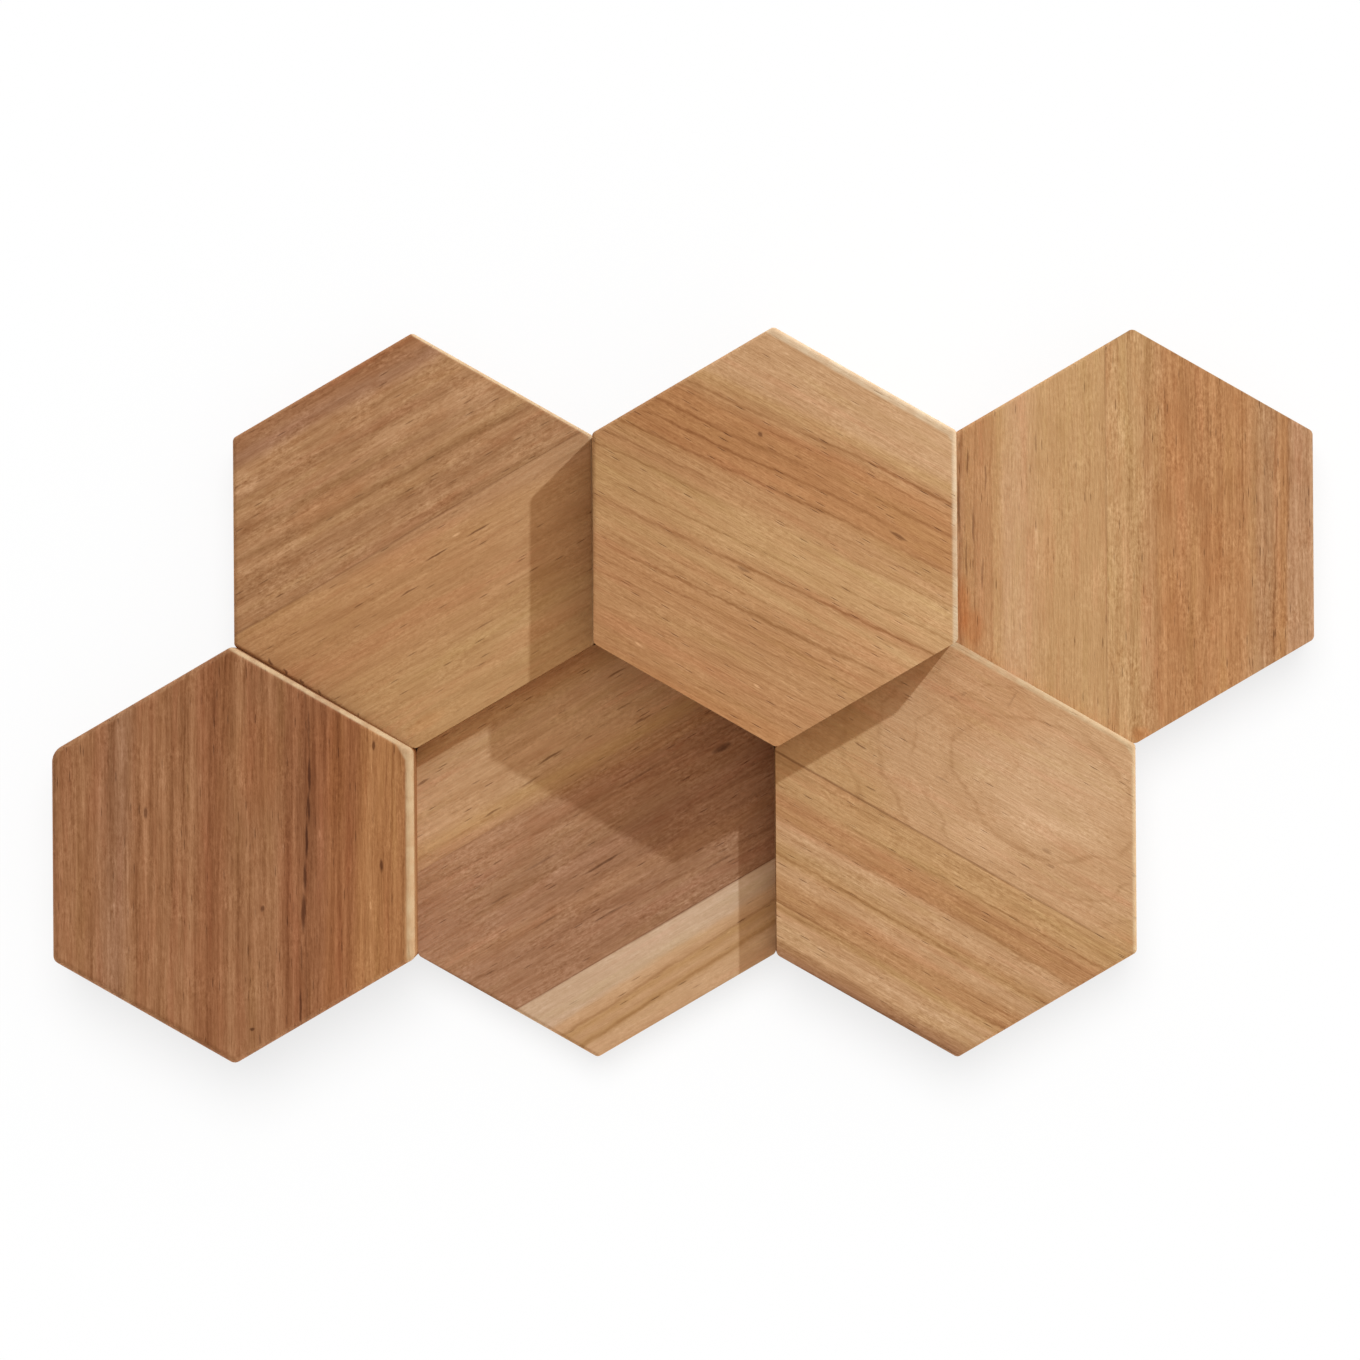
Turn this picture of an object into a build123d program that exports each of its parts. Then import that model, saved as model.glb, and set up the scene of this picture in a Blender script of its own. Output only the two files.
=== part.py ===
"""Honeycomb wall tile: six hexagonal hardwood blocks of stepped thickness, glued flat to flat.

The tile lies on its back. X runs along its two rows of three blocks, Y up across the rows and
Z out of the wall. The origin is the centre of the tile on the plane of its back.
"""
from build123d import *
from collections import namedtuple
from math import sqrt
import os

# Hexagonal blocks, in millimetres
across_flats = 100.0
edge_radius = 1.2
worn_edge_radius = 2.0
face_corner_radius = 0.3
worn_corner_radius = 5.0

# Thickness of each block, from the wall to its front face
top_left_thickness = 21.0
top_centre_thickness = 35.5
top_right_thickness = 18.5
bottom_left_thickness = 27.5
bottom_centre_thickness = 12.0
bottom_right_thickness = 21.0

# Width of the glued strips, across their grain; the last strip of a block takes the rest
top_left_upper_width = 47.5
top_right_left_width = 42.5
bottom_left_left_width = 70.0
bottom_centre_upper_width = 30.0
bottom_centre_middle_width = 47.0
bottom_right_lower_width = 49.0

# Turn of a block about Z that lays its strips upright, rising to the right or falling to the right
upright = 0
rising = -60
falling = 60

# Honeycomb pitch: blocks in a row share a flat, and the rows interlock half a block apart
row_pitch = across_flats * sqrt(3) / 2
half_shift = across_flats / 4

Block = namedtuple("Block", "name column row thickness turn strips")

# Strips are listed across the grain, from the flat on the block's own -X side before it is turned
blocks = [
    Block("top_left", -1, 1, top_left_thickness, rising,
          [("upper_strip", top_left_upper_width), ("lower_strip", None)]),
    Block("top_centre", 0, 1, top_centre_thickness, falling,
          [("block", None)]),
    Block("top_right", 1, 1, top_right_thickness, upright,
          [("left_strip", top_right_left_width), ("right_strip", None)]),
    Block("bottom_left", -1, -1, bottom_left_thickness, upright,
          [("left_strip", bottom_left_left_width), ("right_strip", None)]),
    Block("bottom_centre", 0, -1, bottom_centre_thickness, rising,
          [("upper_strip", bottom_centre_upper_width), ("middle_strip", bottom_centre_middle_width),
           ("lower_strip", None)]),
    Block("bottom_right", 1, -1, bottom_right_thickness, falling,
          [("lower_strip", bottom_right_lower_width), ("upper_strip", None)]),
]
worn_block = "bottom_left"


def block_plane(block):
    """Back of a block: origin at its centre, X across its strips, Z towards the room."""
    centre = (block.column * across_flats + block.row * half_shift, block.row * row_pitch / 2)
    return Plane(centre, z_dir=(0, 0, 1)).rotated((0, 0, block.turn))


def glue_plane(block, distance):
    """Glue line of a block, at a distance across the grain from its first flat."""
    back = block_plane(block)
    return Plane(back.from_local_coords((distance - across_flats / 2, 0, 0)), z_dir=back.x_dir)


def make_strip(block, strip_name, start, end):
    """Strip of a block between two distances across the grain, with its share of the eased rim."""
    rim_radius = worn_edge_radius if block.name == worn_block else edge_radius
    upright_corner_radius = face_corner_radius + rim_radius
    with BuildPart() as strip:
        with BuildSketch(block_plane(block)) as outline:
            RegularPolygon(across_flats / 2, side_count=6, major_radius=False, rotation=30)
            corners = outline.vertices()
            if block.name == worn_block:
                upper_left = corners.group_by(Axis.X)[0].sort_by(Axis.Y)[-1]
                fillet(corners.filter_by(lambda corner: corner != upper_left), radius=upright_corner_radius)
                fillet(outline.vertices().sort_by_distance(upper_left)[0], radius=worn_corner_radius)
            else:
                fillet(corners, radius=upright_corner_radius)
        extrude(amount=block.thickness)
        front_face = strip.faces().sort_by(Axis.Z)[-1]
        fillet(front_face.edges(), radius=rim_radius)
        if start > 0:
            split(bisect_by=glue_plane(block, start), keep=Keep.TOP)
        if end < across_flats:
            split(bisect_by=glue_plane(block, end), keep=Keep.BOTTOM)
    strip.part.label = f"{block.name}_{strip_name}"
    export_step(strip.part, f"parts/{strip.part.label}.step")


os.makedirs("parts", exist_ok=True)
for block in blocks:
    start = 0
    for strip_name, width in block.strips:
        end = across_flats if width is None else start + width
        make_strip(block, strip_name, start, end)
        start = end
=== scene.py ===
# Looks of the honeycomb wall tile: sanded wood, strip by strip, under plain studio light
from math import cos, pi, radians, sin
from typing import NamedTuple

import bpy
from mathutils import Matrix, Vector


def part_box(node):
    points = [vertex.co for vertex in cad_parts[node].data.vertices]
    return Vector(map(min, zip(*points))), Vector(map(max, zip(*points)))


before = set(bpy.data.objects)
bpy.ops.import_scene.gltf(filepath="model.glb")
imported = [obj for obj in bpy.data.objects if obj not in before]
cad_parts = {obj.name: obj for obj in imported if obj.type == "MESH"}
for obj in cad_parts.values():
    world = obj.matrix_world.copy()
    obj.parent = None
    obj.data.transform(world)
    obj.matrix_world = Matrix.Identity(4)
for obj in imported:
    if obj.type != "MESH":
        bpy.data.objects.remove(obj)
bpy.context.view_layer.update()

# Tones of the wood, linear colour
CHALK = (0.594, 0.390, 0.243)
CREAM = (0.590, 0.348, 0.182)
SAND = (0.548, 0.310, 0.153)
STRAW = (0.510, 0.282, 0.121)
HONEY = (0.475, 0.243, 0.103)
AMBER = (0.462, 0.226, 0.094)
TAN = (0.440, 0.226, 0.103)
ROSE = (0.475, 0.250, 0.125)
COPPER = (0.446, 0.204, 0.078)
BROWN = (0.388, 0.193, 0.085)
GINGER = (0.400, 0.172, 0.062)
COCOA = (0.395, 0.196, 0.096)
HAZEL = (0.362, 0.176, 0.089)
UMBER = (0.350, 0.156, 0.067)
RUST = (0.334, 0.128, 0.047)
CHESTNUT = (0.305, 0.120, 0.048)

# Multipliers that make a growth line, a blotch, a pore, a pale fleck, a glue line and the sawn faces
# from the tone below them, and those that lean it to pink, to olive or to red
LINE_TINT = (0.66, 0.56, 0.44)
BLOTCH_TINT = (0.88, 0.78, 0.68)
PORE_TINT = (0.40, 0.32, 0.26)
FLECK_TINT = (1.38, 1.52, 1.75)
GLUE_TINT = (0.46, 0.36, 0.28)
SIDE_TINT = (0.92, 0.90, 0.88)
END_TINT = (0.76, 0.70, 0.64)
PINK_TINT = (1.02, 0.96, 0.97)
OLIVE_TINT = (0.98, 1.00, 0.95)
RED_TINT = (0.95, 0.70, 0.52)

# Swing of red, green and blue with the shade of the wood: darker fibres are redder
SHADE_SWING = (1.0, 1.35, 1.80)

# Pale tones of the rims, partly bared sanded wood and partly a painted highlight where the rims face the
# lamp, and the palest of them
SANDED_AND_LIT = (0.610, 0.420, 0.235)
BLEACHED_AND_LIT = (0.655, 0.475, 0.300)

# Noise of the wood, layer by layer: size of its features across, along and deep in millimetres, then its
# detail and roughness
LAYERS = {
    "bend": ((45.0, 110.0, 60.0), 3.0, 0.50),
    "ripple": ((7.0, 26.0, 9.0), 3.0, 0.50),
    "ragged": ((1.5, 4.0, 1.5), 3.0, 0.50),
    "drift": ((15.0, 80.0, 15.0), 2.0, 0.50),
    "waver": ((9.0, 34.0, 9.0), 2.0, 0.50),
    "streak": ((1.7, 70.0, 1.7), 3.0, 0.60),
    "thread": ((0.9, 24.0, 0.9), 2.0, 0.50),
    "fibre": ((0.5, 6.0, 0.5), 2.0, 0.60),
    "fuzz": ((0.7, 1.6, 0.7), 3.0, 0.65),
    "mottle": ((6.0, 12.0, 6.0), 3.0, 0.50),
    "cloud": ((22.0, 40.0, 22.0), 2.0, 0.50),
    "hue": ((4.0, 50.0, 4.0), 3.0, 0.50),
    "blotch": ((3.2, 9.0, 3.2), 3.0, 0.60),
    "jitter": ((2.2, 5.0, 2.2), 3.0, 0.50),
    "wear": ((4.0, 4.0, 4.0), 3.0, 0.50),
    "saw": ((12.0, 12.0, 0.8), 2.0, 0.50),
}

# Range of a noise over which an effect comes in, then its least and most where they aren't 0 and 1
RANGES = {
    "waver": (-0.22, 0.12, 0.25, 1.0),
    "patchy": (-0.15, 0.2, 0.4, 1.6),
    "pink": (0.02, 0.20),
    "olive": (-0.02, -0.20),
    "blotch": (-0.02, 0.18),
    "wear": (-0.25, 0.2, 0.45, 0.95),
}

# Swing of the shade with the noise of a layer, and the darkest that the shade can get
SWINGS = {"streak": 2.0, "thread": 0.45, "fibre": 0.60, "mottle": 0.18, "cloud": 0.14}
DARKEST = 0.1

# Growth rings: how raggedly they run in millimetres, how far they drift in rings, the part of a ring
# that darkens, the width of the open pores beside a line in millimetres, the slant of the rings into the
# wood and how much deeper than wide they close round an eye
RAGGED = 0.65
RING_DRIFT = 2.4
RING_DARK = (0.45, 0.97)
PORED_WIDTH = 1.0
RING_SLANT = 0.25
EYE_DEPTH = 4.0

# Cells that hold one pore or one torn fibre at most, across, along and deep in millimetres, and how far
# from its middle, in cells, the dash has faded out and is full
PORE_CELL = (0.80, 8.0, 0.80)
PORE_FADE = (0.26, 0.08)
TORN_CELL = (0.95, 4.6, 0.95)
TORN_FADE = (0.24, 0.06)

# Faintest dash beside the strongest, how much of their tint pores and torn fibres take, and the share of
# cells with a pore that a growth line adds
FAINTEST = 0.35
PORE_STRENGTH = 0.60
TORN_STRENGTH = 0.45
LINE_PORES = 0.6

# Marks: how far they wander across and along the grain, in millimetres, the share of their half size within
# which they are full, and a half depth that takes them right through a strip
MARK_WANDER = (0.9, 2.0, 0.0)
MARK_FULL = 0.35
MARK_DEPTH = 1000.0

# How far from a glue line, in millimetres, its dark has faded out and is full
GLUE_FADE = (0.50, 0.10)

# Shift of the noise from one strip to the next, and of the torn fibres from the pores, in millimetres
SEED_STEP = (137.0, 71.0, 29.0)
TORN_SHIFT = (51.0, 87.0, 13.0)

# Height of each part of the relief, and the strength and depth in metres of the bump that they make
FIBRE_RELIEF = 0.6
PORE_RELIEF = -0.6
FUZZ_RELIEF = 0.4
SAW_RELIEF = 1.5
BUMP_STRENGTH = 0.7
BUMP_DEPTH = 0.0003

# Matt surface: its roughness, how much that varies, and its shine
ROUGHNESS = 0.64
ROUGHNESS_SWING = 0.15
SHINE = 0.18

# Half of a block from flat to flat and from corner to corner, and how far the tones reach from its middle,
# in millimetres, and a millimetre in metres
HALF_FLATS = 50.0
HALF_CORNERS = 57.7
TONE_REACH = 52.0
MILLIMETRE = 0.001

# Turn about Z of a block whose grain stands upright, rises to the right or falls to the right, in degrees
UPRIGHT, RISING, FALLING = 0, -60, 60

# Pale band of each block's front, partly sanded wood and partly a painted highlight on the flats that face
# the
# lamp: its tone, then its width in millimetres at the right flat, the right upper corner and the flat above
# that corner, which point at these angles from +X
RIM_ANGLES = (0, 30, 60)
RIM_REACHES = (HALF_FLATS, HALF_CORNERS, HALF_FLATS)
RIM_SOFTNESS = 0.9
RIMS = {
    "top_left": (SANDED_AND_LIT, 0.9, 1.6, 0.9),
    "top_centre": (BLEACHED_AND_LIT, 1.8, 3.2, 2.8),
    "top_right": (SANDED_AND_LIT, 0.4, 0.8, 0.4),
    "bottom_left": (SANDED_AND_LIT, 2.7, 3.8, 1.6),
    "bottom_centre": (SANDED_AND_LIT, 0.4, 0.8, 0.4),
    "bottom_right": (SANDED_AND_LIT, 1.6, 3.0, 2.1),
}

# Way that the palest rims face, towards the lamp, and how pale a rim gets as it turns that way and as it
# slopes:
# partly sanding, partly painted highlight
LIT_SANDED_WAY = (0.87, 0.50, 0.0)
FACING = (0.10, 0.50, 0.12, 1.0)
SLOPING = (0.985, 0.88)

# Upward part of the normal over which a rim's sanding ends towards the sides, and over which a side begins
SANDING_END = (0.05, 0.35)
SIDE_START = (0.35, 0.02)

# Flats at which a block's rim looks square, because it meets a neighbour tight or was hardly sanded, by the
# angles that they point at from +X, then the width of the eased rim there and a margin for rounding, in
# metres
SQUARE_RIMS = {
    "top_left": (300,),
    "top_centre": (240, 300),
    "top_right": (0, 60, 240),
    "bottom_left": (),
    "bottom_centre": (0, 60, 120, 180),
    "bottom_right": (120, 180),
}
EASED_WIDTH = 0.0012
MARGIN = 0.00002


class Strip(NamedTuple):
    """Looks of one strip. Places are millimetres from the middle of its block: v across the grain, u along.

    A growth line is (v, half width, strength). A mark is (v, u, half width, half length, strength), dark
    above zero and pale below. A stain is the same in red. A glue line is (v, strength).
    """
    node: str
    block: str
    turn: int
    tones: list
    lines: tuple = ()
    marks: tuple = ()
    stains: tuple = ()
    glue: tuple = ()
    # Middle of growth rings that close round it (v, u), and how much longer than wide they are
    eye: tuple = ()
    # Lean of the growth lines off the grain, and the change of shade over half a block towards +u
    lean: float = 0.0
    fade: float = 0.0
    # Slow and quick wander of the growth lines, and the spacing of the fine ones, in millimetres
    bend: float = 2.5
    ripple: float = 0.8
    spacing: float = 4.5
    # Strength of each kind of grain, and the share of cells with a pore or a torn fibre
    rings: float = 0.25
    streak: float = 0.18
    fibre: float = 0.8
    fuzz: float = 0.45
    blotch: float = 0.2
    pores: float = 0.30
    torn: float = 0.18
    seed: int = 0


# Open glue line of the bottom left block, in short gaps that wander off the joint
CRACK = [(21.3, 46, 0.6, 0.9, 1.0), (21.1, 34, 0.40, 8, 0.6), (21.2, 22, 0.55, 7, 1.0),
         (20.9, 13, 0.60, 6, 1.0), (20.4, 4, 0.55, 6, 1.0), (19.8, -6, 0.60, 5, 0.9),
         (19.3, -16, 0.80, 7, 1.0), (18.8, -28, 0.40, 6, 0.6), (18.4, -42, 0.45, 7, 0.9)]

STRIPS = [
    Strip("top_left_upper_strip", "top_left", RISING,
          # The darkest stops at v -50 and -48 are painted shade on the eased rim along that edge
          [(-50, RUST), (-48, UMBER), (-43, HAZEL), (-39, TAN), (-36, TAN), (-33, BROWN), (-29, TAN),
           (-23, BROWN), (-21, TAN), (-18, BROWN), (-15, TAN), (-12, BROWN), (-9, BROWN), (-6, TAN),
           (-3, BROWN)],
          lines=[(-31, 1.0, 0.4), (-24, 1.0, 0.5), (-17.5, 1.2, 0.5), (-10.5, 1.2, 0.3), (-4.5, 0.8, 0.4)],
          marks=[(-28, 10, 4, 7, -0.22), (-38, -33, 5, 9, -0.25), (-25, 32, 9, 12, -0.32),
                 (-27, -28, 3, 9, -0.20), (-42, -20, 3, 7, -0.20), (-9, -26, 4, 14, -0.15)],
          stains=[(-21, -15, 5, 18, 0.25)],
          glue=[(-2.5, 0.45)], lean=0.02, bend=3.5, ripple=1.6, spacing=6.0, fuzz=0.75, blotch=0.5,
          torn=0.35, seed=1),
    Strip("top_left_lower_strip", "top_left", RISING,
          [(-2, TAN), (3, HONEY), (14, HONEY), (24, HONEY), (34, STRAW), (50, STRAW)],
          marks=[(6.5, 17, 0.30, 5, 0.9), (6.6, 4, 0.30, 5, 0.9), (11.5, -8, 0.30, 4, 0.8),
                 (4.5, 11, 0.4, 1.6, -1.0), (30, 5, 0.30, 4, 0.5), (9, -51.0, 1.6, 0.5, 0.9),
                 (13.5, -48.9, 1.4, 0.5, 0.9), (18, -46.5, 1.2, 0.5, 0.8), (23, -43.6, 1.0, 0.5, 0.8),
                 (34, -37.4, 0.8, 0.4, 0.7)],
          stains=[(45, -22, 2.5, 8, 0.25)],
          glue=[(-2.5, 0.45)], lean=0.07, fade=0.05, bend=2.0, ripple=1.0, spacing=5.0, rings=0.26,
          streak=0.14, fibre=0.5, fuzz=0.40, seed=2),
    Strip("top_centre_block", "top_centre", FALLING,
          [(-50, COPPER), (-45, AMBER), (-40, AMBER), (-33, HONEY), (-25, AMBER), (-21, HONEY),
           (-15, STRAW), (-11, HONEY), (-8, STRAW), (1, STRAW), (5, HONEY), (8, HONEY), (13, COPPER),
           (24, COPPER), (29, HONEY), (32, STRAW), (35, SAND), (50, SAND)],
          lines=[(-46.5, 0.5, 0.4), (-42, 0.5, 0.4), (-37, 0.5, 0.5), (-33, 0.4, 0.4), (-29, 0.5, 0.5),
                 (-25.5, 0.5, 0.5), (-22, 0.8, 0.8), (-17.5, 0.5, 0.5), (-11, 0.8, 1.0), (-5.5, 0.6, 0.7),
                 (2.5, 0.6, 0.7), (6.5, 0.5, 0.6), (11, 0.7, 0.8), (16, 0.7, 0.9), (20.5, 0.9, 1.0),
                 (25.5, 0.5, 0.6), (28.5, 0.7, 1.0)],
          marks=[(22.5, 17.5, 0.8, 1.0, 0.9), (17, -29, 0.6, 3.5, 0.8), (-44, 18, 0.4, 1.4, -1.0),
                 (-38, -16, 0.4, 1.4, -1.0), (-12, 3, 0.7, 3, 0.6)],
          lean=-0.08, fade=-0.09, bend=2.0, ripple=1.0, spacing=4.0, rings=0.14, streak=0.16, fibre=0.5,
          fuzz=0.42, seed=3),
    Strip("top_right_left_strip", "top_right", UPRIGHT,
          [(-50, TAN), (-46, HONEY), (-40, HONEY), (-38, STRAW), (-35, SAND), (-22, STRAW), (-14, STRAW),
           (-8, STRAW)],
          lines=[(-48, 0.7, 0.7), (-44, 0.5, 0.5), (-39.5, 0.6, 0.5)],
          marks=[(-48.5, 8, 0.5, 9, 0.7), (-46.5, -6, 0.4, 7, 0.6), (-27, 0, 0.6, 5, -0.4),
                 (-26.5, -8, 0.4, 4, -0.4), (-27, 26, 0.35, 4, 0.5), (-46, 21, 0.4, 5, 0.7),
                 (-44.5, 3, 0.4, 7, 0.7), (-42, -10, 0.4, 6, 0.6), (-41, 17, 0.35, 5, 0.6),
                 (-7, -32, 1.2, 8, 0.2)],
          stains=[(-48, -19, 3.2, 11, 0.8), (-45, -25, 4.5, 7, 0.6)],
          glue=[(-7.5, 0.35)], lean=0.01, fade=-0.03, bend=1.6, ripple=0.6, spacing=6.0, rings=0.08,
          streak=0.12, fibre=0.5, fuzz=0.42, blotch=0.15, seed=4),
    Strip("top_right_right_strip", "top_right", UPRIGHT,
          [(-7.5, STRAW), (-4, STRAW), (0, STRAW), (4, HONEY), (9, COPPER), (14, COPPER), (23, COPPER),
           (29, COPPER), (37, TAN), (42, COPPER), (44, ROSE), (50, ROSE)],
          lines=[(2.5, 0.5, 0.4), (20, 0.9, 0.4), (30, 0.4, 0.5), (36.5, 0.5, 0.7), (39.5, 0.5, 0.8),
                 (42.8, 0.5, 0.8)],
          stains=[(2, -55, 4, 3, 0.6), (12, 25, 5, 18, 0.20), (22, -4, 4, 18, 0.20),
                  (11, -20, 5, 16, 0.18)],
          glue=[(-7.5, 0.35)], lean=0.01, fade=-0.04, bend=2.4, ripple=1.2, spacing=3.5, rings=0.22,
          streak=0.30, fuzz=0.75, blotch=0.50, pores=0.45, torn=0.40, seed=5),
    Strip("bottom_left_left_strip", "bottom_left", UPRIGHT,
          [(-50, UMBER), (-40, UMBER), (-31, HAZEL), (-26, UMBER), (-11, UMBER), (-8, CHESTNUT),
           (-3, CHESTNUT), (0, UMBER), (2, UMBER), (7, UMBER), (12, UMBER), (16, CHESTNUT), (20, CHESTNUT)],
          lines=[(-26, 0.7, 0.7), (-14, 0.4, 0.9), (-6.5, 0.7, 0.7), (-3.5, 0.5, 0.6), (2, 0.5, 0.6),
                 (5, 0.5, 0.5), (15.5, 0.6, 0.6)],
          marks=[(-24, 12, 0.8, 2.2, 0.9), (-2, -14, 0.4, 1.4, -1.0), (5, -48, 0.9, 0.7, 1.0),
                 (8, -15, 0.7, 1.2, 0.9), (14, 2, 0.4, 1.4, -0.7), (-31, 30, 3, 10, -0.22),
                 (6, -28, 1.2, 20, -0.15), (-38, 16, 5, 10, -0.20), (20.5, 12, 5, 30, 0.20), *CRACK],
          stains=[(7, 26, 9, 20, 0.30)],
          glue=[(20, 0.3)], lean=0.03, fade=-0.07, bend=2.6, ripple=1.0, spacing=4.2, rings=0.32,
          streak=0.54, fuzz=0.70, blotch=0.3, torn=0.28, seed=6),
    Strip("bottom_left_right_strip", "bottom_left", UPRIGHT,
          # The pale stop at v 50 is partly a painted highlight on the right rim that faces the lamp, partly
          # sanded wood
          [(20, CHESTNUT), (24, CHESTNUT), (28, RUST), (33, RUST), (36, GINGER), (38, COPPER), (40, GINGER),
           (47, GINGER), (50, HONEY)],
          lines=[(24.5, 0.4, 0.6), (28, 0.4, 0.5), (33, 0.5, 0.6), (43.5, 0.6, 0.7)],
          marks=[(24, 6, 0.4, 1.6, -1.0), (41, -3, 0.7, 2.5, 1.0), (39, 30, 0.7, 1.6, 1.0),
                 (38, -14, 0.4, 1.4, -0.8), (20.5, 12, 5, 30, 0.20), *CRACK],
          stains=[(25, 24, 8, 22, 0.25)],
          glue=[(20, 0.3)], lean=0.03, fade=-0.09, bend=1.4, ripple=0.6, spacing=2.8, rings=0.35,
          streak=0.52, fuzz=0.55, seed=7),
    Strip("bottom_centre_upper_strip", "bottom_centre", RISING,
          [(-50, HONEY), (-46, STRAW), (-42, SAND), (-28, SAND), (-23.5, STRAW), (-20, TAN)],
          marks=[(-40, 30, 0.4, 4, 0.7), (-25, 30, 0.4, 5, 0.7), (-29, 2, 0.45, 6, 0.8),
                 (-26, -6, 0.4, 5, 0.6), (-24, -20, 0.4, 4, 0.7), (-41, -32, 0.4, 3, 0.8),
                 (-31, 27, 0.35, 3, 0.6), (-29, -37, 10, 12, -0.15), (-27, -4, 6, 22, 0.08)],
          glue=[(-20, 0.15)], lean=0.02, fade=-0.03, bend=1.6, ripple=0.7, spacing=5.0, rings=0.12,
          fibre=0.6, pores=0.40, seed=8),
    Strip("bottom_centre_middle_strip", "bottom_centre", RISING,
          [(-20, TAN), (-17, COCOA), (-11, COCOA), (-4, HAZEL), (5, HAZEL), (9, COCOA), (14, HAZEL),
           (27, HAZEL)],
          lines=[(-12, 0.7, 0.5), (-2, 0.6, 0.5), (16, 0.8, 0.5)],
          marks=[(4, 0, 0.5, 8, 0.8), (-5, -15, 0.4, 7, 0.5), (17, -5, 0.45, 8, 0.5), (-7, 45, 1.2, 4, 0.9),
                 (-12, 20, 0.5, 9, 0.5), (20, 28, 0.5, 6, 0.5), (-2, -30, 0.4, 5, 0.5),
                 (10, -22, 0.4, 6, 0.5), (2, 20, 9, 16, 0.08), (13, 4, 4, 14, -0.12)],
          glue=[(-20, 0.15), (27, 0.7)], lean=0.05, fade=-0.12, bend=5.0, ripple=1.8, spacing=6.0,
          rings=0.25, streak=0.22, fuzz=0.75, blotch=0.45, pores=0.45, torn=0.40, seed=9),
    Strip("bottom_centre_lower_strip", "bottom_centre", RISING,
          [(27, CHALK), (34, CHALK), (36, CREAM), (38, SAND), (39.5, STRAW), (41.5, SAND), (43.5, STRAW),
           (45.5, CREAM), (50, CREAM)],
          lines=[(38.5, 0.7, 0.6), (43.8, 1.0, 0.8)],
          glue=[(27, 0.7)], lean=-0.05, bend=1.5, ripple=0.7, spacing=5.0, rings=0.08, streak=0.12,
          fibre=0.4, fuzz=0.28, blotch=0.1, pores=0.20, seed=10),
    Strip("bottom_right_lower_strip", "bottom_right", FALLING,
          # The dark stops at v -50 and -47 are painted shade on the outer rim that faces away from the lamp
          [(-50, HAZEL), (-47, BROWN), (-45, SAND), (-43, CREAM), (-40, SAND), (-38, STRAW), (-36, HONEY),
           (-33, HONEY), (-28, SAND), (-25, STRAW), (-21, SAND), (-18, SAND), (-15.5, AMBER), (-11, AMBER),
           (-8, STRAW), (-3, STRAW)],
          lines=[(-38, 0.6, 0.5), (-36.5, 0.8, 0.8), (-33, 0.5, 0.4), (-25, 0.7, 0.8), (-16.5, 0.5, 0.5),
                 (-11.5, 0.5, 0.5), (-8.5, 0.6, 0.8), (-2.5, 0.6, 0.5)],
          stains=[(-13.5, 5, 2.0, 18, 0.1)],
          glue=[(-1, 0.75)], bend=1.8, ripple=0.9, spacing=4.5, rings=0.16, streak=0.22, fibre=0.65,
          fuzz=0.55, blotch=0.25, seed=11),
    Strip("bottom_right_upper_strip", "bottom_right", FALLING,
          [(-40, STRAW), (-12, STRAW), (-2, SAND), (8, SAND), (17, CREAM), (27, CREAM)],
          lines=[(-13, 1.2, 0.35), (-6, 0.8, 0.40), (1, 0.7, 0.40), (9, 0.9, 0.40)],
          marks=[(11.8, 37, 0.35, 2.5, 0.8), (3, 29, 0.30, 2.5, 0.7), (5.5, -19, 0.35, 2.5, 0.6),
                 (12, -22, 0.8, 2.0, 0.35), (9, -25, 0.5, 1.8, 0.4), (15, 13, 0.4, 3, 0.4),
                 (5, -5, 5, 16, -0.30), (19, -15, 9, 12, -0.08), (7, 38, 9, 10, -0.12),
                 (40, 14, 16, 26, 0.05), (36, 21, 0.6, 2.0, 0.3), (38.5, 19.5, 1.3, 0.9, 0.3),
                 (44, 7, 3.5, 0.5, 0.25), (37.2, -5, 0.5, 4.5, 0.3),
                 (36, -36.5, 0.6, 0.9, 0.9), (18, -46.8, 0.5, 1.2, 0.9), (8, -52.5, 0.5, 0.9, 0.8)],
          stains=[(40, 15, 16, 28, 0.25)],
          glue=[(-1, 0.75)], eye=(27, -13, 1.5), bend=8.0, ripple=3.2, spacing=8.0, rings=0.05,
          streak=0.10, fibre=0.40, fuzz=0.45, blotch=0.25, pores=0.15, torn=0.16, seed=12),
]


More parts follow.
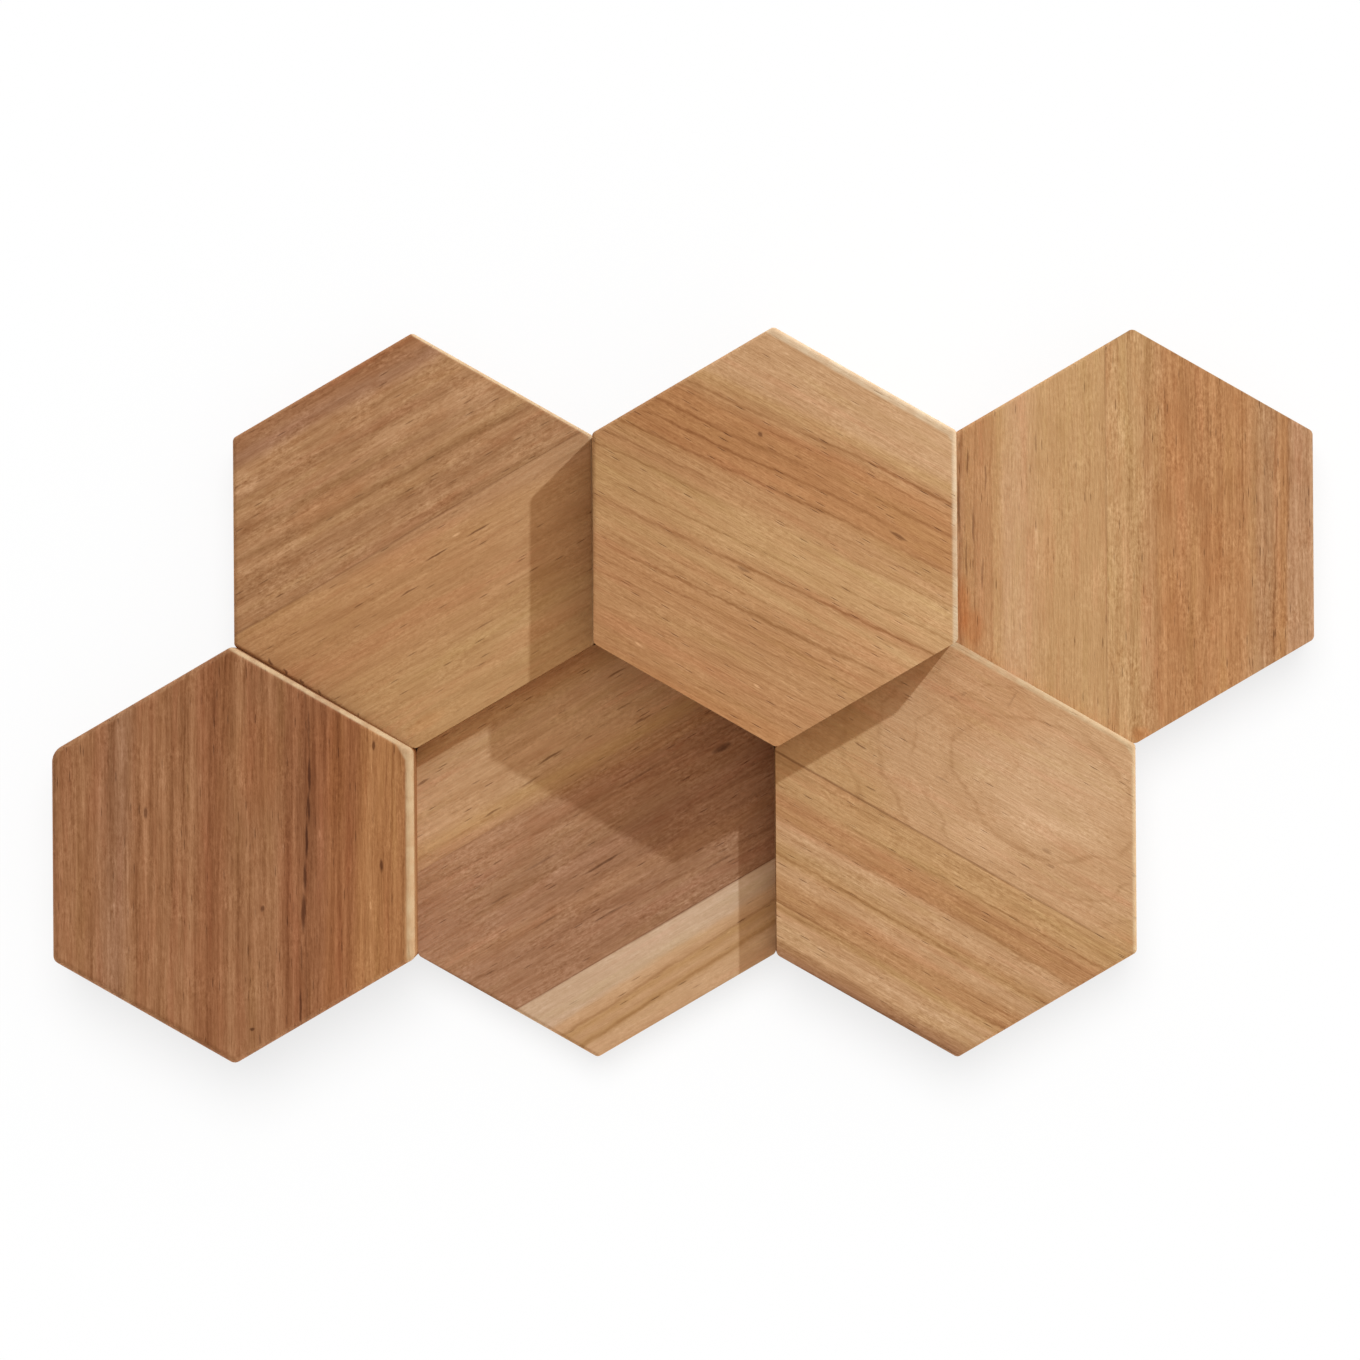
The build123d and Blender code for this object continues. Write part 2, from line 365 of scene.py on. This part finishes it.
class Graph:
    """Nodes of one shader or modifier, added and linked by short calls."""

    def __init__(self, tree):
        self.tree = tree
        tree.nodes.clear()

    def add(self, kind, **settings):
        node = self.tree.nodes.new(kind)
        for name, value in settings.items():
            setattr(node, name, value)
        return node

    def put(self, socket, value):
        if isinstance(value, bpy.types.NodeSocket):
            self.tree.links.new(value, socket)
        else:
            socket.default_value = value

    def math(self, operation, *values):
        node = self.add("ShaderNodeMath", operation=operation)
        for socket, value in zip(node.inputs, values):
            self.put(socket, value)
        return node.outputs[0]

    def vector(self, operation, *values):
        node = self.add("ShaderNodeVectorMath", operation=operation)
        for socket, value in zip(node.inputs, values):
            self.put(socket, value)
        return node.outputs["Value"] if operation in ("LENGTH", "DOT_PRODUCT") else node.outputs["Vector"]

    def split(self, vector):
        node = self.add("ShaderNodeSeparateXYZ")
        self.put(node.inputs["Vector"], vector)
        return tuple(node.outputs)

    def remap(self, value, low, high, to_low=0.0, to_high=1.0, smooth=True):
        node = self.add("ShaderNodeMapRange", interpolation_type="SMOOTHSTEP" if smooth else "LINEAR")
        for name, number in (("Value", value), ("From Min", low), ("From Max", high),
                             ("To Min", to_low), ("To Max", to_high)):
            self.put(node.inputs[name], number)
        return node.outputs["Result"]

    def noise(self, place, size, detail, roughness):
        """Noise of about -0.5 to 0.5."""
        node = self.add("ShaderNodeTexNoise", noise_dimensions="3D")
        self.put(node.inputs["Vector"], self.vector("DIVIDE", place, size))
        self.put(node.inputs["Scale"], 1.0)
        self.put(node.inputs["Detail"], detail)
        self.put(node.inputs["Roughness"], roughness)
        return self.math("SUBTRACT", node.outputs["Fac"], 0.5)

    def ramp(self, value, stops, low, high):
        """Colour ramp over a length: stops are (position, colour) between low and high."""
        node = self.add("ShaderNodeValToRGB")
        band = node.color_ramp
        band.interpolation = "EASE"
        while len(band.elements) < len(stops):
            band.elements.new(0.5)
        for element, (position, colour) in zip(band.elements, stops):
            element.position = (position - low) / (high - low)
            element.color = (*colour, 1.0)
        self.put(node.inputs["Fac"], self.remap(value, low, high, smooth=False))
        return node.outputs["Color"]

    def mix(self, amount, base, other):
        """Mix of two colours. Its sockets go by number, because other data types share their names."""
        node = self.add("ShaderNodeMix", data_type="RGBA")
        self.put(node.inputs[0], amount)
        self.put(node.inputs[6], base)
        self.put(node.inputs[7], other)
        return node.outputs[2]

    def tint(self, amount, colour, factor):
        """Colour multiplied by a tint, by an amount."""
        return self.mix(amount, colour, self.vector("MULTIPLY", colour, factor))


def direction(azimuth, elevation):
    """Unit vector at an angle from +X about Z and an angle above the XY plane, in radians."""
    return Vector((cos(elevation) * cos(azimuth), cos(elevation) * sin(azimuth), sin(elevation)))


def square_rims(node, spec, centre, front):
    """Modifier that lifts the eased rim back to the front at the flats where it looks square.

    The mesh's own normals still show the eased rim, so they are made anew from the lifted faces.
    """
    tree = bpy.data.node_groups.new(f"{spec.node}_rims", "GeometryNodeTree")
    for way in ("INPUT", "OUTPUT"):
        tree.interface.new_socket("Geometry", in_out=way, socket_type="NodeSocketGeometry")
    graph = Graph(tree)
    position = graph.add("GeometryNodeInputPosition").outputs["Position"]
    place = graph.vector("SUBTRACT", position, (centre.x, centre.y, front))
    depth = graph.split(place)[2]
    rim_start = HALF_FLATS * MILLIMETRE - EASED_WIDTH - MARGIN
    chosen = 0.0
    for angle in SQUARE_RIMS[spec.block]:
        distance = graph.vector("DOT_PRODUCT", place, direction(radians(angle), 0.0))
        chosen = graph.math("MAXIMUM", chosen, graph.math("GREATER_THAN", distance, rim_start))
    chosen = graph.math("MULTIPLY", chosen, graph.math("GREATER_THAN", depth, MARGIN - EASED_WIDTH))
    lift = graph.add("ShaderNodeCombineXYZ")
    graph.put(lift.inputs["Z"], graph.math("MULTIPLY", depth, -1.0))
    squared = graph.add("GeometryNodeSetPosition")
    graph.put(squared.inputs["Geometry"], graph.add("NodeGroupInput").outputs["Geometry"])
    graph.put(squared.inputs["Selection"], chosen)
    graph.put(squared.inputs["Offset"], lift.outputs["Vector"])
    renewed = graph.add("GeometryNodeSetMeshNormal", mode="SHARPNESS")
    graph.put(renewed.inputs["Mesh"], squared.outputs["Geometry"])
    graph.put(graph.add("NodeGroupOutput").inputs["Geometry"], renewed.outputs["Mesh"])
    node.modifiers.new("square_rims", "NODES").node_group = tree


def grain_place(graph, spec, centre, front):
    """Place in millimetres from the middle of the block's front: across, along and out of the grain."""
    mapping = graph.add("ShaderNodeMapping", vector_type="TEXTURE")
    graph.put(mapping.inputs["Vector"], graph.add("ShaderNodeTexCoord").outputs["Object"])
    mapping.inputs["Location"].default_value = (centre.x, centre.y, front)
    mapping.inputs["Rotation"].default_value = (0.0, 0.0, radians(spec.turn))
    mapping.inputs["Scale"].default_value = (MILLIMETRE, MILLIMETRE, MILLIMETRE)
    return mapping.outputs["Vector"]


def ring_distance(graph, spec, place, layers):
    """Distance across the growth rings, which lean or close round an eye and are bent and rippled."""
    across, along, deep = graph.split(place)
    if spec.eye:
        eye_v, eye_u, length = spec.eye
        offset = graph.vector("SUBTRACT", place, (eye_v, eye_u, 0.0))
        offset = graph.vector("DIVIDE", offset, (1.0, length, EYE_DEPTH))
        rings = graph.math("SUBTRACT", eye_v, graph.vector("LENGTH", offset))
    else:
        rings = graph.math("MULTIPLY_ADD", along, -spec.lean, across)
    rings = graph.math("MULTIPLY_ADD", deep, RING_SLANT, rings)
    # The noise reaches about half either way, so it is doubled
    for name, amount in (("bend", spec.bend), ("ripple", spec.ripple), ("ragged", RAGGED)):
        rings = graph.math("MULTIPLY_ADD", layers[name], 2.0 * amount, rings)
    return rings


def growth_lines(graph, spec, rings, layers):
    """Strength of the growth rings and lines, and of the open pores beside the lines."""
    spread = graph.math("DIVIDE", rings, spec.spacing)
    spread = graph.math("MULTIPLY_ADD", layers["drift"], RING_DRIFT, spread)
    growth = graph.remap(graph.math("FRACT", spread), *RING_DARK, 0.0, spec.rings)
    open_pored = 0.0
    for line_v, half_width, strength in spec.lines:
        offset = graph.math("ABSOLUTE", graph.math("SUBTRACT", rings, line_v))
        growth = graph.math("MAXIMUM", growth, graph.remap(offset, half_width, 0.0, 0.0, strength))
        beside = graph.remap(offset, half_width + PORED_WIDTH, half_width, 0.0, strength)
        open_pored = graph.math("MAXIMUM", open_pored, beside)
    return growth, open_pored


def shaded(graph, spec, colour, place, layers):
    """Colour with its streaks, fibres, fuzz left by the sanding and slow changes of tone."""
    along = graph.split(place)[1]
    shade = graph.math("MULTIPLY_ADD", along, spec.fade / HALF_FLATS, 1.0)
    strengths = {"streak": spec.streak, "thread": spec.fibre, "fibre": spec.fibre}
    for name, amount in SWINGS.items():
        shade = graph.math("MULTIPLY_ADD", layers[name], amount * strengths.get(name, 1.0), shade)
    patchy = graph.remap(layers["mottle"], *RANGES["patchy"])
    shade = graph.math("MULTIPLY_ADD", graph.math("MULTIPLY", layers["fuzz"], patchy), spec.fuzz, shade)
    shade = graph.math("MAXIMUM", shade, DARKEST)
    swing = graph.add("ShaderNodeCombineXYZ")
    for socket, power in zip(swing.inputs, SHADE_SWING):
        graph.put(socket, graph.math("POWER", shade, power))
    colour = graph.vector("MULTIPLY", colour, swing.outputs["Vector"])
    colour = graph.tint(graph.remap(layers["hue"], *RANGES["pink"]), colour, PINK_TINT)
    colour = graph.tint(graph.remap(layers["hue"], *RANGES["olive"]), colour, OLIVE_TINT)
    blotched = graph.remap(layers["blotch"], *RANGES["blotch"], 0.0, spec.blotch)
    return graph.tint(blotched, colour, BLOTCH_TINT)


def scatter(graph, place, cell, fade, share):
    """Dashes strewn along the grain: one in each chosen cell, for a share of the cells."""
    cells = graph.add("ShaderNodeTexVoronoi", feature="F1")
    graph.put(cells.inputs["Vector"], graph.vector("DIVIDE", place, cell))
    graph.put(cells.inputs["Scale"], 1.0)
    chance = graph.add("ShaderNodeSeparateColor")
    graph.put(chance.inputs["Color"], cells.outputs["Color"])
    chosen = graph.math("LESS_THAN", chance.outputs[0], share)
    depth = graph.remap(chance.outputs[1], 0.0, 1.0, FAINTEST, 1.0)
    dash = graph.remap(cells.outputs["Distance"], *fade)
    return graph.math("MULTIPLY", graph.math("MULTIPLY", dash, chosen), depth)


def marked(graph, spec, colour, place, layers, waver):
    """Colour with the marks and stains that are seen one by one, and the glue lines."""
    wander = graph.vector("MULTIPLY", MARK_WANDER, layers["jitter"])
    wandering = graph.vector("ADD", place, wander)
    tinted = [(mark, PORE_TINT if mark[-1] > 0 else FLECK_TINT) for mark in spec.marks]
    tinted += [(stain, RED_TINT) for stain in spec.stains]
    for (mark_v, mark_u, half_width, half_length, strength), tint in tinted:
        offset = graph.vector("SUBTRACT", wandering, (mark_v, mark_u, 0.0))
        offset = graph.vector("DIVIDE", offset, (half_width, half_length, MARK_DEPTH))
        spot = graph.remap(graph.vector("LENGTH", offset), 1.0, MARK_FULL, 0.0, abs(strength))
        colour = graph.tint(spot, colour, tint)
    across = graph.split(place)[0]
    for glue_v, strength in spec.glue:
        offset = graph.math("ABSOLUTE", graph.math("SUBTRACT", across, glue_v))
        seam = graph.remap(offset, *GLUE_FADE, 0.0, strength)
        colour = graph.tint(graph.math("MULTIPLY", seam, waver), colour, GLUE_TINT)
    return colour


def sanded_and_lit_rims(graph, spec, colour, place, layers, normal):
    """Colour paler at the rims that face right and up, where the front is sanded most and a highlight is
    painted towards the lamp.
    """
    upward = graph.split(normal)[2]
    facing = graph.remap(graph.vector("DOT_PRODUCT", normal, LIT_SANDED_WAY), *FACING)
    sanded_and_lit_share = graph.math("MULTIPLY", graph.remap(upward, *SLOPING), facing)
    tone, *widths = RIMS[spec.block]
    for angle, reach, width in zip(RIM_ANGLES, RIM_REACHES, widths):
        heading = radians(angle - spec.turn)
        distance = graph.vector("DOT_PRODUCT", place, (cos(heading), sin(heading), 0.0))
        start = reach - width
        sanded_and_lit_share = graph.math("MAXIMUM", sanded_and_lit_share, graph.remap(distance, start, start + RIM_SOFTNESS))
    sanded_and_lit_share = graph.math("MULTIPLY", sanded_and_lit_share, graph.remap(upward, *SANDING_END))
    worn = graph.remap(layers["wear"], *RANGES["wear"])
    return graph.mix(graph.math("MULTIPLY", sanded_and_lit_share, worn), colour, (*tone, 1.0))


def wood(spec, centre, front):
    """Material of one strip: a solid texture in millimetres, along and across the grain of its block."""
    material = bpy.data.materials.new(spec.node)
    material.use_nodes = True
    graph = Graph(material.node_tree)
    place = grain_place(graph, spec, centre, front)
    seeded = graph.vector("ADD", place, tuple(step * spec.seed for step in SEED_STEP))
    layers = {name: graph.noise(seeded, *settings) for name, settings in LAYERS.items()}

    # Tones and growth lines, which fade in and out along the grain
    rings = ring_distance(graph, spec, place, layers)
    colour = graph.ramp(rings, spec.tones, -TONE_REACH, TONE_REACH)
    waver = graph.remap(layers["waver"], *RANGES["waver"])
    growth, open_pored = growth_lines(graph, spec, rings, layers)
    colour = graph.tint(graph.math("MULTIPLY", growth, waver), colour, LINE_TINT)
    colour = shaded(graph, spec, colour, place, layers)

    # Pores, short dark dashes along the grain and close together at the growth lines, and paler torn fibres
    share = graph.math("MULTIPLY_ADD", open_pored, LINE_PORES, spec.pores)
    pore = scatter(graph, seeded, PORE_CELL, PORE_FADE, share)
    apart = graph.vector("ADD", seeded, TORN_SHIFT)
    torn = scatter(graph, apart, TORN_CELL, TORN_FADE, spec.torn)
    colour = graph.tint(graph.math("MULTIPLY", pore, PORE_STRENGTH), colour, PORE_TINT)
    colour = graph.tint(graph.math("MULTIPLY", torn, TORN_STRENGTH), colour, FLECK_TINT)
    colour = marked(graph, spec, colour, place, layers, waver)

    # Rims paler, partly sanded wood and partly painted highlight towards the lamp, sawn sides duller, ends
    # of the grain darker
    normal = graph.add("ShaderNodeNewGeometry").outputs["Normal"]
    colour = sanded_and_lit_rims(graph, spec, colour, place, layers, normal)
    turn = radians(spec.turn)
    side = graph.remap(graph.split(normal)[2], *SIDE_START)
    end = graph.math("ABSOLUTE", graph.vector("DOT_PRODUCT", normal, (-sin(turn), cos(turn), 0.0)))
    colour = graph.tint(side, colour, SIDE_TINT)
    colour = graph.tint(graph.math("MULTIPLY", side, end), colour, END_TINT)

    # Surface: matt sanded wood with open pores, and saw marks on the sides
    relief = graph.math("MULTIPLY", layers["fibre"], FIBRE_RELIEF)
    relief = graph.math("MULTIPLY_ADD", pore, PORE_RELIEF, relief)
    relief = graph.math("MULTIPLY_ADD", layers["fuzz"], FUZZ_RELIEF, relief)
    relief = graph.math("MULTIPLY_ADD", graph.math("MULTIPLY", layers["saw"], side), SAW_RELIEF, relief)
    bump = graph.add("ShaderNodeBump")
    bump.inputs["Strength"].default_value = BUMP_STRENGTH
    bump.inputs["Distance"].default_value = BUMP_DEPTH
    graph.put(bump.inputs["Height"], relief)
    surface = graph.add("ShaderNodeBsdfPrincipled")
    graph.put(surface.inputs["Base Color"], colour)
    roughness = graph.math("MULTIPLY_ADD", layers["mottle"], ROUGHNESS_SWING, ROUGHNESS)
    graph.put(surface.inputs["Roughness"], roughness)
    surface.inputs["Specular IOR Level"].default_value = SHINE
    graph.put(surface.inputs["Normal"], bump.outputs["Normal"])
    output = graph.add("ShaderNodeOutputMaterial")
    graph.put(output.inputs["Surface"], surface.outputs["BSDF"])
    return material


def block_centres():
    """Centre of each block, from the boxes of its strips."""
    corners = {}
    for spec in STRIPS:
        corners.setdefault(spec.block, []).extend(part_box(spec.node))
    return {block: (Vector(map(min, zip(*found))) + Vector(map(max, zip(*found)))) / 2
            for block, found in corners.items()}


centres = block_centres()
for spec in STRIPS:
    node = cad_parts[spec.node]
    node.data.materials.clear()
    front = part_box(spec.node)[1].z
    node.data.materials.append(wood(spec, centres[spec.block], front))
    if SQUARE_RIMS[spec.block]:
        square_rims(node, spec, centres[spec.block], front)

# Studio: warm even light from all round, stronger from the right, and a small lamp at the upper right that
# makes the sum white
FILL = (0.72, 0.64, 0.56)
FILL_AZIMUTH, FILL_LEAN = radians(25), 0.5
LAMP_COLOUR = tuple(1.0 - level for level in FILL)
LAMP_AZIMUTH, LAMP_ELEVATION, LAMP_DISTANCE = radians(48.3), radians(30), 1.2
LAMP_RADIUS = 0.014

# Wide soft light on the floor alone, as a multiple of the fill there, and the part of the floor's white
# that is lit and so takes shadow
SOFT_AZIMUTH, SOFT_ELEVATION, SOFT_SHARE = radians(95), radians(66), 2.0
SOFT_WIDTH = radians(45)
FLOOR_LIT = 0.24

# Sheets under the tile: width, depth and height in metres
FLOOR_SHEET = (8.0, 8.0, -0.0002)
SHADE_SHEET = (0.17, 0.036, -0.0001)

# Plain colours of the background and the sheets
WHITE = (1.0, 1.0, 1.0)
PAPER_GREY = (0.8, 0.8, 0.8)
# The brown under the joints is painted shade seen through the holes where the blocks meet
SHADE_BROWN = (0.05, 0.03, 0.02)

# Camera straight above the tile: film width and lens in millimetres, place in metres, turn about Z
FILM_WIDTH, LENS = 36.0, 122.06
CAMERA_PLACE = (-0.00131, 0.00422, 1.3)
CAMERA_TURN = radians(-0.387)

scene = bpy.context.scene
scene.view_settings.view_transform = "Standard"


def add_lamp(name, kind, energy, colour, receivers, link):
    """Lamp that lights only, or all but, the receivers."""
    data = bpy.data.lights.new(name, kind)
    data.energy = energy
    data.color = colour
    lamp = bpy.data.objects.new(name, data)
    scene.collection.objects.link(lamp)
    linked = bpy.data.collections.new(f"{name}_receivers")
    for receiver in receivers:
        linked.objects.link(receiver)
    for entry in linked.collection_objects:
        entry.light_linking.link_state = link
    lamp.light_linking.receiver_collection = linked
    return lamp


def set_plain(socket, *colour):
    """Give a colour socket one plain opaque colour."""
    socket.default_value = (*colour, 1.0)


def add_world():
    """Even light that leans to one side, and plain white where the camera sees it."""
    world = bpy.data.worlds.new("studio")
    scene.world = world
    world.use_nodes = True
    graph = Graph(world.node_tree)
    light = graph.add("ShaderNodeBackground")
    set_plain(light.inputs["Color"], *FILL)
    ray = graph.add("ShaderNodeTexCoord").outputs["Generated"]
    lean = graph.vector("DOT_PRODUCT", ray, FILL_LEAN * direction(FILL_AZIMUTH, 0.0))
    graph.put(light.inputs["Strength"], graph.math("ADD", lean, 1.0))
    white = graph.add("ShaderNodeBackground")
    set_plain(white.inputs["Color"], *WHITE)
    seen = graph.add("ShaderNodeLightPath").outputs["Is Camera Ray"]
    chooser = graph.add("ShaderNodeMixShader")
    for socket, value in zip(chooser.inputs, (seen, light.outputs[0], white.outputs[0])):
        graph.put(socket, value)
    graph.put(graph.add("ShaderNodeOutputWorld").inputs["Surface"], chooser.outputs[0])


def white_paper():
    """Paper that the camera sees as white with a soft shadow, and that the tile sees as pale grey."""
    paper = bpy.data.materials.new("white_paper")
    paper.use_nodes = True
    graph = Graph(paper.node_tree)
    bounce = graph.add("ShaderNodeBsdfDiffuse")
    set_plain(bounce.inputs["Color"], *PAPER_GREY)
    matt = graph.add("ShaderNodeBsdfDiffuse")
    set_plain(matt.inputs["Color"], *(FLOOR_LIT / level / (1.0 + SOFT_SHARE) for level in FILL))
    glow = graph.add("ShaderNodeEmission")
    set_plain(glow.inputs["Color"], *WHITE)
    glow.inputs["Strength"].default_value = 1.0 - FLOOR_LIT
    both = graph.add("ShaderNodeAddShader")
    graph.put(both.inputs[0], matt.outputs[0])
    graph.put(both.inputs[1], glow.outputs[0])
    seen = graph.add("ShaderNodeLightPath").outputs["Is Camera Ray"]
    chooser = graph.add("ShaderNodeMixShader")
    for socket, value in zip(chooser.inputs, (seen, bounce.outputs[0], both.outputs[0])):
        graph.put(socket, value)
    graph.put(graph.add("ShaderNodeOutputMaterial").inputs["Surface"], chooser.outputs[0])
    return paper


def shade_sheet_material():
    """Dull dark material for the sheet under the joints: painted shade in the holes where the blocks meet.
    """
    shade_material = bpy.data.materials.new("shade_sheet_material")
    shade_material.use_nodes = True
    graph = Graph(shade_material.node_tree)
    matt = graph.add("ShaderNodeBsdfDiffuse")
    set_plain(matt.inputs["Color"], *SHADE_BROWN)
    graph.put(graph.add("ShaderNodeOutputMaterial").inputs["Surface"], matt.outputs[0])
    return shade_material


def add_sheet(name, width, depth, height, material):
    """Flat sheet under the tile, centred on it."""
    bpy.ops.mesh.primitive_plane_add(size=1.0, location=(0.0, 0.0, height))
    sheet = bpy.context.object
    sheet.name = name
    sheet.scale = (width, depth, 1.0)
    sheet.data.materials.append(material)
    return sheet


# Floor, and a dark sheet under the joints, painted shade that keeps the floor's glow out of the holes where
# the blocks' corners meet
add_world()
floor = add_sheet("floor", *FLOOR_SHEET, white_paper())
shade_sheet = add_sheet("painted_shade_sheet", *SHADE_SHEET, shade_sheet_material())

# Powers that show a flat white sheet in the lamp's own colour: once for the lamp, and SOFT_SHARE times for
# the soft one
lamp_power = 4.0 * pi * pi * LAMP_DISTANCE ** 2 / sin(LAMP_ELEVATION)
lamp = add_lamp("lamp", "POINT", lamp_power, LAMP_COLOUR, (floor, shade_sheet), "EXCLUDE")
lamp.location = LAMP_DISTANCE * direction(LAMP_AZIMUTH, LAMP_ELEVATION)
lamp.data.shadow_soft_size = LAMP_RADIUS
soft_power = SOFT_SHARE * pi / sin(SOFT_ELEVATION)
soft = add_lamp("soft_lamp", "SUN", soft_power, FILL, (floor,), "INCLUDE")
soft.data.angle = SOFT_WIDTH
soft.rotation_euler = direction(SOFT_AZIMUTH, SOFT_ELEVATION).to_track_quat("Z", "Y").to_euler()

camera_data = bpy.data.cameras.new("camera")
camera_data.sensor_width = FILM_WIDTH
camera_data.lens = LENS
camera = bpy.data.objects.new("camera", camera_data)
camera.location = CAMERA_PLACE
camera.rotation_euler = (0.0, 0.0, CAMERA_TURN)
scene.collection.objects.link(camera)
scene.camera = camera
